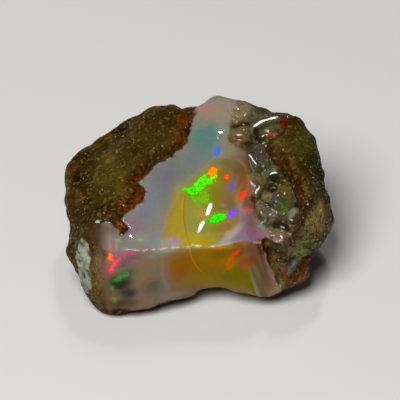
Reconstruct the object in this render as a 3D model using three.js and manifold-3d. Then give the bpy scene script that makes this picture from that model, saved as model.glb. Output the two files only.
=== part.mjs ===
// Rough fire opal: a broken nodule of precious opal, still in its brown volcanic rind.
// Millimetres, +Z up. The origin is on the resting face, under the middle of the stone.
// The stone faces -Y: its glassy upper break, the window, slopes back from a sharp ridge
// over the front break, and the rind wraps the left, the right and the back.
import * as THREE from "three";
import { mergeVertices } from "three/addons/utils/BufferGeometryUtils.js";
import Module from "manifold-3d";

const wasm = await Module();
wasm.setup();

// ---------------------------------------------------------------- driving dimensions

const CORE = new THREE.Vector3(0, 0, 6.8); // the point that the rind's reaches are measured from
const RIND_DETAIL = 17; // subdivisions of the rind's icosahedron
const EDGE_SHARPNESS = 1.25; // per mm: higher gives the nodule tighter edges

// The faces of the nodule, each as the way it points (azimuth from +X, tilt above level,
// in degrees) and how far it lies from CORE in mm.
const RIND_FACES = {
  left: [180, 0, 13.7],
  leftShoulder: [188, 42, 11.9],
  leftCrown: [196, 66, 8.1],
  leftBackCrown: [138, 40, 11.6],
  leftBack: [150, -4, 13.4],
  leftHeel: [128, -14, 12.4],
  backCrown: [90, 50, 11.9],
  back: [90, 0, 9.9],
  top: [60, 84, 8.3],
  rightBackCrown: [46, 38, 13.7],
  rightBack: [38, -8, 12.6],
  rightUpper: [14, 22, 13.0],
  rightCrown: [-14, 58, 10.6],
  right: [-3, -4, 14.2],
  rightFront: [-36, 2, 11.7],
  rightLow: [-30, -30, 14.1],
  rightLowFront: [-54, -26, 13.2],
  front: [270, 0, 11.4],
  leftFront: [226, 6, 13.6],
  leftLow: [206, -24, 14.5],
  leftLowFront: [232, -26, 14.7],
  underFront: [283, -49, 8.5],
  underLeft: [182, -60, 10.3],
  underRight: [0, -58, 10.2],
  underBack: [90, -50, 8.6],
};

// Swellings and hollows of the rind: place, radius and height, all in mm. A height below
// zero is a hollow.
const RIND_SWELLS = [
  { name: "left dome", at: [-7.2, 1.6, 12.2], radius: 3.6, height: 0.4 },
  { name: "left crease", at: [-7.6, -4.2, 11.6], radius: 1.5, height: -0.5 },
  { name: "left corner", at: [-13.0, 3.2, 10.2], radius: 2.2, height: 0.9 },
  { name: "left shoulder fill", at: [-11.0, 5.0, 10.9], radius: 1.5, height: 0.3 },
  { name: "left dent", at: [-9.0, 5.0, 12.9], radius: 1.8, height: -0.8 },
  { name: "left waist", at: [-13.2, -1.7, 5.2], radius: 1.9, height: -1.6 },
  { name: "left flank dent", at: [-13.1, -4.4, 7.4], radius: 1.6, height: -0.4 },
  { name: "left flank boss", at: [-13.0, -5.6, 5.6], radius: 1.2, height: 0.3 },
  { name: "left foot", at: [-9.6, -8.2, 1.2], radius: 2.2, height: 1.5 },
  { name: "left foot dent", at: [-10.7, -9.0, 1.6], radius: 1.3, height: -0.9 },
  { name: "front foot", at: [-5.6, -8.6, 1.2], radius: 1.8, height: 0.35 },
  { name: "left top knob", at: [-2.9, 6.6, 13.7], radius: 1.5, height: 0.4 },
  { name: "saddle", at: [-0.9, 8.7, 13.6], radius: 1.2, height: -1.7 },
  { name: "opal crest", at: [1.8, 8.4, 14.2], radius: 2.1, height: 0.5 },
  { name: "crest end", at: [3.9, 7.8, 14.2], radius: 1.5, height: 0.4 },
  { name: "right top dent", at: [6.2, 8.2, 13.7], radius: 2.0, height: -0.5 },
  { name: "right corner", at: [9.7, 5.8, 13.6], radius: 1.3, height: 0.7 },
  { name: "right shoulder", at: [11.0, 4.6, 12.2], radius: 2.3, height: 0.8 },
  { name: "right dent", at: [12.8, 1.4, 8.1], radius: 1.6, height: -1.0 },
  { name: "right side dent", at: [13.2, 1.0, 6.4], radius: 1.8, height: -0.3 },
  { name: "right cheek", at: [10.8, -4.6, 7.6], radius: 2.4, height: 1.3 },
  { name: "cheek corner", at: [11.9, -5.0, 6.9], radius: 1.2, height: 0.4 },
  { name: "right side boss", at: [13.1, -1.3, 6.0], radius: 1.4, height: 0.2 },
  { name: "right waist", at: [12.0, -2.9, 3.2], radius: 1.7, height: -3.2 },
  { name: "cheek foot", at: [10.2, -6.2, 4.7], radius: 1.1, height: -0.7 },
  { name: "back boss", at: [3.2, 9.4, 5.8], radius: 2.8, height: 0.6 },
  { name: "back hollow", at: [-4.4, 9.4, 8.2], radius: 2.4, height: -0.7 },
  { name: "back foot", at: [-6.4, 7.8, 2.8], radius: 2.3, height: 0.6 },
  { name: "right back dent", at: [10.2, 7.2, 6.0], radius: 2.2, height: -0.6 },
  { name: "left back boss", at: [-11.4, 6.4, 6.2], radius: 2.6, height: 0.5 },
  { name: "toe", at: [5.8, -7.4, 1.6], radius: 1.8, height: 1.0 },
  { name: "toe end", at: [7.8, -7.2, 2.2], radius: 1.4, height: 0.6 },
  { name: "right toe", at: [10.6, -5.6, 2.4], radius: 1.9, height: 1.1 },
];

// The window: the plane of the upper break, through RIDGE and rising to the back. Places
// in it are [across, up the slope] in mm from RIDGE. It is cut in two blocks side by side,
// with a finer grid for the knobbly band on the right.
const RIDGE = new THREE.Vector3(0, -8.6, 9.4);
const WINDOW_SLOPE = 17; // degrees above level
const WINDOW_LEFT = { from: [-14, -4], to: [3.6, 22], steps: [24, 34] };
const WINDOW_BAND = { from: [3.6, -4], to: [12.4, 22], steps: [26, 62] };
const CUT_HEIGHT = 8; // how far the cutters of both breaks stand out of the stone

// The bowl that the break left in the window's middle, and the band's lower floor.
const BOWL = { at: [0.9, 5.7], radii: [5.0, 7.6], depth: 1.2 };
const BAND_FLOOR = { edge: 4.4, fall: 1.4, depth: 0.65 };

// Knobs of glassy opal in the band: place, half sizes [along, across], height over the
// floor and turn in degrees. A height below zero is a pit.
const KNOBS = [
  { at: [4.0, 16.2], half: [1.3, 1.4], height: 0.75, turn: 0 },
  { at: [4.3, 13.4], half: [1.3, 0.8], height: 0.5, turn: 8 },
  { at: [6.8, 15.1], half: [1.6, 0.6], height: 0.7, turn: 27 },
  { at: [7.4, 15.0], half: [1.4, 1.0], height: 0.4, turn: 24 },
  { at: [7.6, 13.0], half: [1.0, 0.9], height: 0.45, turn: -20 },
  { at: [5.3, 10.2], half: [0.9, 0.4], height: 0.4, turn: -58 },
  { at: [6.2, 10.9], half: [0.8, 1.5], height: 0.45, turn: 14 },
  { at: [5.7, 8.0], half: [1.0, 1.1], height: 0.75, turn: -10 },
  { at: [7.4, 9.1], half: [0.9, 0.7], height: 0.6, turn: 20 },
  { at: [7.6, 5.9], half: [0.8, 1.1], height: 0.5, turn: 0 },
  { at: [8.7, 6.8], half: [0.8, 1.0], height: 0.7, turn: 20 },
  { at: [6.2, 4.6], half: [0.5, 1.3], height: 0.4, turn: 20 },
  { at: [9.2, 4.0], half: [0.9, 0.9], height: 0.6, turn: 0 },
  { at: [8.0, 1.5], half: [1.2, 0.8], height: 0.5, turn: -25 },
  { at: [5.6, 13.0], half: [0.6, 0.5], height: -0.6, turn: 10 },
  { at: [7.1, 7.4], half: [0.7, 0.6], height: -0.5, turn: 0 },
  { at: [8.0, 2.9], half: [0.9, 0.6], height: -0.5, turn: -20 },
];

// The rim of the window, where the rind stands over it as a ledge.
const WINDOW_RIM = [
  [-16, -6], [-16, 0.6], [-12.4, 1.2], [-10.7, 2.1], [-9.5, 2.6], [-8.7, 1.7], [-8.3, 0.9],
  [-7.5, 1.5], [-7.2, 2.2], [-7.7, 2.9], [-6.8, 4.1], [-5.6, 5.0], [-5.2, 6.4], [-5.9, 7.3],
  [-5.0, 7.9], [-4.8, 8.8], [-4.1, 9.6], [-3.1, 10.1], [-2.2, 10.8], [-1.4, 11.4],
  [-1.1, 12.2], [-1.05, 13.6], [-0.8, 15.2], [-0.3, 16.8], [0.2, 21], [8.2, 21],
  [8.7, 16.2], [8.8, 14.7], [7.7, 13.4], [6.7, 12.6], [6.6, 11.4], [7.3, 10.3], [8.3, 9.0],
  [9.0, 7.6], [9.4, 6.2], [10.1, 4.7], [9.9, 3.1], [9.0, 1.6], [8.5, 0.3], [8.6, -6],
];

// The front break: a near-upright face under the ridge, turned a little to the right and
// hollowed towards its foot, where a chip is out of it. Places in it are [across, up] in mm.
const FRONT_TURN = 7.6; // degrees towards +X
const FRONT_UNDERCUT = 2; // degrees past upright
const FRONT = { from: [-16, -14], to: [8.8, 4], steps: [32, 20] };
const HOLLOW = { at: [0.6, -8.4], radii: [3.4, 4.2], depth: 1.5 };
const CHIP = { at: [1.6, -6.4, 0.6], radii: [2.4, 4.5, 1.25], tip: -40 };

// The wedge of rind that fell out beside the front break: its corners in that break's
// frame. Its floor is hinged on its right side and goes in deepest along its left.
const WEDGE = { corners: [[5.9, 0.9], [8.8, 0.4], [8.8, -5.6], [8.0, -6.6]], hinge: 8.8, turn: 21 };

const MATERIALS = {
  stone: new THREE.MeshStandardMaterial({ color: 0x7a6a52, roughness: 0.35, metalness: 0 }),
};

// ------------------------------------------------------------------------- the rind

const degrees = THREE.MathUtils.degToRad;

// A unit vector that points along an azimuth from +X and a tilt above level.
function pointing(azimuth, tilt) {
  const level = Math.cos(degrees(tilt));
  return new THREE.Vector3(
    level * Math.cos(degrees(azimuth)),
    level * Math.sin(degrees(azimuth)),
    Math.sin(degrees(tilt)),
  );
}

const faces = Object.values(RIND_FACES).map(([azimuth, tilt, reach]) => ({
  normal: pointing(azimuth, tilt),
  reach,
}));

// Rolling relief, within about one on either side of zero, over a given wavelength.
function waves(point, wavelength) {
  const { x, y, z } = point.clone().multiplyScalar((2 * Math.PI) / wavelength);
  const u = x + 0.9 * Math.sin(0.37 * y + 1.1);
  const v = y + 0.9 * Math.sin(0.41 * z + 0.7);
  const w = z + 0.9 * Math.sin(0.39 * x + 2.3);
  const turns = Math.sin(u) * Math.cos(v) + Math.sin(v) * Math.cos(w) + Math.sin(w) * Math.cos(u);
  return turns / 1.5;
}

// Swells and relief together: how far the rind stands out at a point, in mm.
function standsOut(point) {
  let out = 0.17 * waves(point, 6.1) + 0.11 * waves(point, 2.7);
  for (const { at, radius, height } of RIND_SWELLS) {
    const away = point.distanceTo(new THREE.Vector3(...at));
    out += height * Math.exp(-((away / radius) ** 2));
  }
  return out;
}

// Below zero inside the nodule, above zero outside: its faces, blended at their edges.
function nodule(point) {
  const arm = point.clone().sub(CORE);
  let sum = 0;
  for (const { normal, reach } of faces) {
    sum += Math.exp(EDGE_SHARPNESS * (arm.dot(normal) - reach));
  }
  return Math.log(sum) / EDGE_SHARPNESS - standsOut(point);
}

// How far the nodule reaches from CORE in one direction.
function noduleReach(direction) {
  let inside = 0;
  let outside = 25;
  while (outside - inside > 0.002) {
    const middle = (inside + outside) / 2;
    const point = direction.clone().multiplyScalar(middle).add(CORE);
    if (nodule(point) < 0) inside = middle;
    else outside = middle;
  }
  return inside;
}

// Moves each vertex of a geometry by a function of its place.
function reshape(geometry, move) {
  const places = geometry.getAttribute("position");
  const point = new THREE.Vector3();
  for (let i = 0; i < places.count; i++) {
    point.fromBufferAttribute(places, i);
    move(point);
    places.setXYZ(i, point.x, point.y, point.z);
  }
  return geometry;
}

function rindGeometry() {
  return reshape(new THREE.IcosahedronGeometry(1, RIND_DETAIL), (point) => {
    point.normalize().multiplyScalar(noduleReach(point)).add(CORE);
  });
}

// ----------------------------------------------------------------------- the breaks

// The window's own frame: across, up the slope and out, from RIDGE.
const windowFrame = new THREE.Matrix4()
  .makeTranslation(RIDGE)
  .multiply(new THREE.Matrix4().makeRotationX(degrees(WINDOW_SLOPE)));

// The front break's frame: across, up and out, from RIDGE.
const frontFrame = new THREE.Matrix4()
  .makeTranslation(RIDGE)
  .multiply(new THREE.Matrix4().makeRotationZ(degrees(FRONT_TURN)))
  .multiply(new THREE.Matrix4().makeRotationX(degrees(90 + FRONT_UNDERCUT)));

// How high a knob's dome stands at a place: nothing outside its outline.
function dome({ at, half, height, turn }, across, up) {
  const offset = new THREE.Vector2(across - at[0], up - at[1]);
  offset.rotateAround(new THREE.Vector2(), degrees(-turn));
  const reach = (offset.x / half[0]) ** 2 + (offset.y / half[1]) ** 2;
  return height * Math.sqrt(Math.max(0, 1 - reach));
}

// How high the window's surface stands over its plane.
function windowLevel(across, up) {
  const { at, radii, depth } = BOWL;
  const fromBowl = Math.hypot((across - at[0]) / radii[0], (up - at[1]) / radii[1]);
  const bowl = depth * Math.max(0, 1 - fromBowl ** 2) ** 1.5;
  const intoBand = (across - BAND_FLOOR.edge) / BAND_FLOOR.fall;
  const floor = BAND_FLOOR.depth * THREE.MathUtils.smoothstep(intoBand, 0, 1);
  const swell = 0.12 * Math.sin(0.5 * across + 0.35 * up) - 0.004 * (across + 2) ** 2;
  const domes = KNOBS.map((knob) => dome(knob, across, up));
  return swell - bowl - floor + Math.max(0, ...domes) + Math.min(0, ...domes);
}

// How far the front break's surface stands out of its plane.
function frontLevel(across, up) {
  const { at, radii, depth } = HOLLOW;
  const away = ((across - at[0]) / radii[0]) ** 2 + ((up - at[1]) / radii[1]) ** 2;
  return 0.1 * Math.sin(0.8 * across + 0.5 * up) - depth * Math.exp(-away);
}

// A block over a rectangle of a break, its underside shaped by a level.
function cutterGeometry({ from, to, steps }, level) {
  const size = [to[0] - from[0], to[1] - from[1]];
  const block = new THREE.BoxGeometry(...size, CUT_HEIGHT, ...steps, 1);
  block.translate((from[0] + to[0]) / 2, (from[1] + to[1]) / 2, 0);
  return reshape(block, (point) => {
    point.z = point.z < 0 ? level(point.x, point.y) : CUT_HEIGHT;
  });
}

// A flat outline drawn out to both sides of its plane.
function prismGeometry(corners, below, above) {
  const outline = new THREE.Shape(corners.map(([across, up]) => new THREE.Vector2(across, up)));
  const settings = { depth: below + above, bevelEnabled: false };
  return new THREE.ExtrudeGeometry(outline, settings).translate(0, 0, -below);
}

// ------------------------------------------------------------------------- the stone

// A closed geometry as a solid, placed in a frame.
function solid(geometry, frame = new THREE.Matrix4()) {
  const bare = geometry.clone().applyMatrix4(frame);
  bare.deleteAttribute("normal");
  bare.deleteAttribute("uv");
  const merged = mergeVertices(bare, 1e-4);
  return new wasm.Manifold(
    new wasm.Mesh({
      numProp: 3,
      vertProperties: merged.getAttribute("position").array,
      triVerts: new Uint32Array(merged.index.array),
    }),
  );
}

function geometryOf(shape) {
  const { numProp, numVert, vertProperties, triVerts } = shape.getMesh();
  const places = new Float32Array(3 * numVert);
  for (let i = 0; i < numVert; i++) {
    places.set(vertProperties.subarray(i * numProp, i * numProp + 3), 3 * i);
  }
  const geometry = new THREE.BufferGeometry();
  geometry.setAttribute("position", new THREE.BufferAttribute(places, 3));
  geometry.setIndex(new THREE.BufferAttribute(new Uint32Array(triVerts), 1));
  return geometry;
}

// What the upper break took away: both blocks, inside the rim.
function upperBreak() {
  const left = solid(cutterGeometry(WINDOW_LEFT, windowLevel), windowFrame);
  const band = solid(cutterGeometry(WINDOW_BAND, windowLevel), windowFrame);
  const rim = solid(prismGeometry(WINDOW_RIM, CUT_HEIGHT, 2 * CUT_HEIGHT), windowFrame);
  return left.add(band).intersect(rim);
}

function chipGeometry() {
  const scoop = new THREE.IcosahedronGeometry(1, 4)
    .scale(...CHIP.radii)
    .rotateX(degrees(CHIP.tip))
    .translate(...CHIP.at);
  return reshape(scoop, (point) => point.addScalar(0.16 * waves(point, 2.1)));
}

function wedgeGeometry() {
  return prismGeometry(WEDGE.corners, 0.1, CUT_HEIGHT)
    .translate(-WEDGE.hinge, 0, 0)
    .rotateY(degrees(-WEDGE.turn))
    .translate(WEDGE.hinge, 0, 0);
}

function stoneSolid() {
  const underRest = new THREE.BoxGeometry(60, 60, 20).translate(0, 0, -10);
  return solid(rindGeometry())
    .subtract(upperBreak())
    .subtract(solid(cutterGeometry(FRONT, frontLevel), frontFrame))
    .subtract(solid(wedgeGeometry(), frontFrame))
    .subtract(solid(chipGeometry()))
    .subtract(solid(underRest));
}

const stone = geometryOf(stoneSolid());
stone.computeBoundingBox();
const middle = stone.boundingBox.getCenter(new THREE.Vector3());
stone.translate(-middle.x, -middle.y, 0);

const roughOpal = new THREE.Mesh(stone, MATERIALS.stone);
roughOpal.name = "rough_opal";

const part = new THREE.Group();
part.name = "rough_fire_opal";
part.add(roughOpal);

export default part;
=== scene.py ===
import math

import bpy
import numpy as np
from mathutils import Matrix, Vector


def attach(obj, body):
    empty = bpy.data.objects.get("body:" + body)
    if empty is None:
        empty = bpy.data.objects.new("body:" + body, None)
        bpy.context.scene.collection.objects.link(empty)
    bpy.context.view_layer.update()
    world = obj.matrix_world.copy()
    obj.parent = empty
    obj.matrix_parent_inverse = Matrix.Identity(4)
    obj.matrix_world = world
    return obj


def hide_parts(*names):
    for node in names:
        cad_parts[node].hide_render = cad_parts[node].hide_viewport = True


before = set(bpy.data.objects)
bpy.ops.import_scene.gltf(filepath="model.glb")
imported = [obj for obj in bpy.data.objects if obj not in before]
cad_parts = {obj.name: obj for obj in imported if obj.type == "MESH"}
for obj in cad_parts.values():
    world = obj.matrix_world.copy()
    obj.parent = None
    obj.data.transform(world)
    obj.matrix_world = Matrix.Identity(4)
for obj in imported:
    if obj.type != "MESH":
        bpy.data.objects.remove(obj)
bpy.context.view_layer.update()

# ------------------------------------------------------------------ the stone
# A broken nodule of precious opal, grown as one piece with its rind of brown volcanic
# clay and sand. A blow took off its top, which left the glassy window with its shallow
# bowl, and its front, which left the near-upright amber face under a sharp ridge.

CORE = np.array([0, 0, 6.8], np.float32)  # mm: where the rind's reaches are measured from
EDGE_SHARPNESS = 1.25                     # per mm: higher gives the nodule tighter edges

# The nodule's faces: azimuth from +X and tilt above level in degrees, reach in mm.
RIND_FACES = [
    (180, 0, 13.7), (188, 42, 11.9), (196, 66, 8.1), (138, 40, 11.6), (150, -4, 13.4),
    (128, -14, 12.4), (90, 50, 11.9), (90, 0, 9.9), (60, 84, 8.3), (46, 38, 13.7),
    (38, -8, 12.6), (14, 22, 13.0), (-14, 58, 10.6), (-3, -4, 14.2), (-36, 2, 11.7),
    (-30, -30, 14.1), (-54, -26, 13.2), (270, 0, 11.4), (226, 6, 13.6), (206, -24, 14.5),
    (232, -26, 14.7), (283, -49, 8.5), (182, -60, 10.3), (0, -58, 10.2), (90, -50, 8.6),
]

# Its swellings and hollows: x, y, z, radius and height in mm.
RIND_SWELLS = [
    (-7.2, 1.6, 12.2, 3.6, 0.4), (-7.6, -4.2, 11.6, 1.5, -0.5), (-13.0, 3.2, 10.2, 2.2, 0.9),
    (-11.0, 5.0, 10.9, 1.5, 0.3), (-9.0, 5.0, 12.9, 1.8, -0.8), (-13.2, -1.7, 5.2, 1.9, -1.6),
    (-13.1, -4.4, 7.4, 1.6, -0.4), (-13.0, -5.6, 5.6, 1.2, 0.3), (-9.6, -8.2, 1.2, 2.2, 1.5),
    (-10.7, -9.0, 1.6, 1.3, -0.9), (-5.6, -8.6, 1.2, 1.8, 0.35), (-2.9, 6.6, 13.7, 1.5, 0.4),
    (-0.9, 8.7, 13.6, 1.2, -1.7), (1.8, 8.4, 14.2, 2.1, 0.5), (3.9, 7.8, 14.2, 1.5, 0.4),
    (6.2, 8.2, 13.7, 2.0, -0.5), (9.7, 5.8, 13.6, 1.3, 0.7), (11.0, 4.6, 12.2, 2.3, 0.8),
    (12.8, 1.4, 8.1, 1.6, -1.0), (13.2, 1.0, 6.4, 1.8, -0.3), (10.8, -4.6, 7.6, 2.4, 1.3),
    (11.9, -5.0, 6.9, 1.2, 0.4), (13.1, -1.3, 6.0, 1.4, 0.2), (12.0, -2.9, 3.2, 1.7, -3.2),
    (10.2, -6.2, 4.7, 1.1, -0.7), (3.2, 9.4, 5.8, 2.8, 0.6), (-4.4, 9.4, 8.2, 2.4, -0.7),
    (-6.4, 7.8, 2.8, 2.3, 0.6), (10.2, 7.2, 6.0, 2.2, -0.6), (-11.4, 6.4, 6.2, 2.6, 0.5),
    (5.8, -7.4, 1.6, 1.8, 1.0), (7.8, -7.2, 2.2, 1.4, 0.6), (10.6, -5.6, 2.4, 1.9, 1.1),
]

# The window: its plane through RIDGE, its bowl, the lower floor of the knobbly band, and
# the knobs there: across, up, half sizes, height and turn, in mm and degrees.
RIDGE = np.array([0, -8.6, 9.4], np.float32)
WINDOW_SLOPE = math.radians(17)
BOWL = (0.9, 5.7, 5.0, 7.6, 1.2)
BAND_EDGE, BAND_FALL, BAND_DEPTH = 4.4, 1.4, 0.65
KNOBS = [
    (4.0, 16.2, 1.3, 1.4, 0.75, 0), (4.3, 13.4, 1.3, 0.8, 0.5, 8),
    (7.4, 15.0, 1.4, 1.0, 0.4, 24), (7.6, 13.0, 1.0, 0.9, 0.45, -20),
    (6.2, 10.9, 0.8, 1.5, 0.45, 14), (5.7, 8.0, 1.0, 1.1, 0.75, -10),
    (7.4, 9.1, 0.9, 0.7, 0.6, 20), (7.6, 5.9, 0.8, 1.1, 0.5, 0), (8.7, 6.8, 0.8, 1.0, 0.7, 20),
    (6.2, 4.6, 0.5, 1.3, 0.4, 20), (9.2, 4.0, 0.9, 0.9, 0.6, 0), (8.0, 1.5, 1.2, 0.8, 0.5, -25),
    (-7.0, 1.0, 0.18, 0.35, 0.1, 15), (5.6, 13.0, 0.6, 0.5, -0.6, 10),
    (7.1, 7.4, 0.7, 0.6, -0.5, 0), (8.0, 2.9, 0.9, 0.6, -0.5, -20),
]
# Its long flat-topped lumps: across, up, half length and width, the top's level, turn,
# rise along it, lean across it, bend.
BARS = [
    (6.6, 15.0, 2.2, 0.45, -0.1, 26, -0.076, -0.03, 0.1),
    (5.25, 10.4, 1.25, 0.38, -0.18, -60, 0.035, -0.083, 0.0),
    (5.72, 6.77, 0.9, 0.38, -0.28, 64, -0.091, 0.015, 0.0),
    (7.5, 8.85, 1.0, 0.38, -0.34, 6, -0.06, -0.06, 0.3),
    (2.1, 13.4, 0.55, 0.5, 0.08, 10, -0.072, -0.05, 0.0),
]
# Where its glassy floor ends at the rind: across and up.
WINDOW_RIM = [
    (-16, -6), (-16, 0.6), (-12.4, 1.2), (-10.7, 2.1), (-9.4, 3.0), (-8.7, 2.7), (-8.25, 2.0),
    (-8.0, 1.1), (-7.3, 1.2), (-7.0, 2.0), (-7.7, 3.1), (-6.9, 4.2), (-5.6, 5.0), (-5.2, 6.4),
    (-6.0, 7.4),
    (-5.2, 8.0), (-4.9, 8.8), (-4.1, 9.6), (-3.1, 10.1), (-2.3, 10.9), (-1.6, 11.5),
    (-1.1, 12.3), (-0.85, 13.6), (-0.65, 14.8), (0.1, 16.6), (0.5, 21), (8.2, 21),
    (8.7, 16.2), (8.8, 14.7), (7.7, 13.4), (6.7, 12.6), (6.6, 11.4), (7.3, 10.3), (8.3, 9.0),
    (9.0, 7.6), (9.4, 6.2), (10.1, 4.7), (9.9, 3.1), (9.0, 1.6), (8.5, 0.3), (8.6, -6),
]

# The front break, its hollow, its chipped foot and the wedge that fell out beside it.
FRONT_TURN = math.radians(7.6)
FRONT_LEAN = math.radians(92)
FRONT_END = 8.8
HOLLOW = (0.6, -8.4, 3.4, 4.2, 1.5)
CHIP_AT, CHIP_HALF, CHIP_TIP = (1.6, -6.4, 0.6), (2.4, 4.5, 1.25), math.radians(-40)
WEDGE = [(5.9, 0.9), (6.6, 0.1), (8.8, -1.5), (8.8, -5.6), (8.0, -6.6)]
WEDGE_HINGE, WEDGE_TURN = 8.8, math.radians(21)

# The sandy lump at the lower right, where the rind is roughest.
SANDY_AT, SANDY_HALF = (11.5, -5.0, 6.5), (3.4, 3.6, 4.6)


def turned(axis, angle):
    """The matrix that turns by an angle about the x, y or z axis."""
    c, s = math.cos(angle), math.sin(angle)
    rows = {"x": [(1, 0, 0), (0, c, -s), (0, s, c)], "y": [(c, 0, s), (0, 1, 0), (-s, 0, c)],
            "z": [(c, -s, 0), (s, c, 0), (0, 0, 1)]}
    return np.array(rows[axis], np.float32)


IN_WINDOW = turned("x", WINDOW_SLOPE)
IN_FRONT = turned("z", FRONT_TURN) @ turned("x", FRONT_LEAN)


def smooth_max(a, b, blend):
    """The larger of two fields, rounded over where they meet."""
    near = np.clip(1 - np.abs(a - b) / blend, 0, 1)
    return np.maximum(a, b) + near * near * blend / 4


def waves(p, length):
    """Rolling relief, within about one on either side of zero."""
    x, y, z = (2 * math.pi / length * p).T
    u = x + 0.9 * np.sin(0.37 * y + 1.1)
    v = y + 0.9 * np.sin(0.41 * z + 0.7)
    w = z + 0.9 * np.sin(0.39 * x + 2.3)
    return (np.sin(u) * np.cos(v) + np.sin(v) * np.cos(w) + np.sin(w) * np.cos(u)) / 1.5


def grit(p, size, seed):
    """Random relief between -1 and 1, with lumps of one size."""
    table = np.random.default_rng(seed).uniform(-1, 1, 32 ** 3).astype(np.float32)
    at = p / size + 200
    cell = np.floor(at).astype(np.int32)
    f = at - cell
    f = f * f * (3 - 2 * f)
    total = 0
    for i in (0, 1):
        for j in (0, 1):
            for k in (0, 1):
                c = (cell + (i, j, k)) & 31
                weight = (abs(1 - i - f[:, 0]) * abs(1 - j - f[:, 1]) * abs(1 - k - f[:, 2]))
                total = total + weight * table[(c[:, 0] * 32 + c[:, 1]) * 32 + c[:, 2]]
    return total


def outline_distance(x, y, corners):
    """Distance to a closed outline, below zero inside it."""
    nearest = np.full(x.shape, 1e9, np.float32)
    inside = np.zeros(x.shape, bool)
    for (ax, ay), (bx, by) in zip(corners, corners[1:] + corners[:1]):
        ex, ey = bx - ax, by - ay
        t = np.clip(((x - ax) * ex + (y - ay) * ey) / (ex * ex + ey * ey), 0, 1)
        nearest = np.minimum(nearest, np.hypot(x - ax - t * ex, y - ay - t * ey))
        crosses = (ay > y) != (by > y)
        inside ^= crosses & (x < ax + (y - ay) * ex / (ey if ey else 1))
    return np.where(inside, -nearest, nearest)


# The rim's distances are worked out once on a fine sheet and read from it.
RIM_STEP, RIM_LOW = 0.08, (-18.0, -8.0)
sheet_x, sheet_y = np.meshgrid(np.arange(RIM_LOW[0], 14, RIM_STEP),
                               np.arange(RIM_LOW[1], 24, RIM_STEP), indexing="ij")
RIM_SHEET = outline_distance(sheet_x, sheet_y, WINDOW_RIM).astype(np.float32)


def rim_distance(across, up):
    x = np.clip((across - RIM_LOW[0]) / RIM_STEP, 0, RIM_SHEET.shape[0] - 2.01)
    y = np.clip((up - RIM_LOW[1]) / RIM_STEP, 0, RIM_SHEET.shape[1] - 2.01)
    i, j = x.astype(np.int32), y.astype(np.int32)
    x, y = x - i, y - j
    low = RIM_SHEET[i, j] * (1 - x) + RIM_SHEET[i + 1, j] * x
    high = RIM_SHEET[i, j + 1] * (1 - x) + RIM_SHEET[i + 1, j + 1] * x
    return low * (1 - y) + high * y


def nodule(p):
    """Below zero inside the unbroken nodule."""
    arm = p - CORE
    total = 0
    for azimuth, tilt, reach in RIND_FACES:
        a, t = math.radians(azimuth), math.radians(tilt)
        normal = np.array([math.cos(t) * math.cos(a), math.cos(t) * math.sin(a), math.sin(t)],
                          np.float32)
        total = total + np.exp(EDGE_SHARPNESS * (arm @ normal - reach))
    out = 0.17 * waves(p, 6.1) + 0.11 * waves(p, 2.7)
    for x, y, z, radius, height in RIND_SWELLS:
        out += height * np.exp(-((p - (x, y, z)) ** 2).sum(1) / radius ** 2)
    return np.log(total) / EDGE_SHARPNESS - out


def window_level(across, up, rough):
    """How high the window's surface stands over its plane, with its roughness."""
    x, y, half_x, half_y, depth = BOWL
    bowl = depth * np.clip(1 - ((across - x) / half_x) ** 2 - ((up - y) / half_y) ** 2, 0, 1) ** 1.5
    t = np.clip((across - BAND_EDGE) / BAND_FALL, 0, 1)
    by_front = np.clip(1 - (up + 0.2) / 2, 0, 1)
    level = 0.12 * np.sin(0.5 * across + 0.35 * up) - 0.004 * (across + 2) ** 2
    level -= bowl + BAND_DEPTH * t * t * (3 - 2 * t) * (1 - 0.6 * by_front)
    raised, sunk = 0, 0
    for x, y, half_x, half_y, height, turn in KNOBS:
        c, s = math.cos(math.radians(turn)), math.sin(math.radians(turn))
        dx, dy = across - x, up - y
        reach = ((c * dx + s * dy) / half_x) ** 2 + ((c * dy - s * dx) / half_y) ** 2
        dome = height * np.sqrt(np.clip(1 - reach, 0, 1))
        if height > 0:
            raised = smooth_max(raised, dome, 0.12)
        else:
            sunk = np.minimum(sunk, dome)
    level = level + raised + sunk + rough
    for x, y, long, wide, top, turn, rise, lean, bend in BARS:
        c, s = math.cos(math.radians(turn)), math.sin(math.radians(turn))
        dx, dy = across - x, up - y
        along = c * dx + s * dy
        aside = np.clip(c * dy - s * dx + bend * along ** 2, -2 * wide, 2 * wide)
        flat = top + rise * along + lean * aside
        bar = flat - 0.35 * ((along / long) ** 12 + (aside / wide) ** 8)
        level = smooth_max(level, np.maximum(bar, -9), 0.1)
    return level


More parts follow.
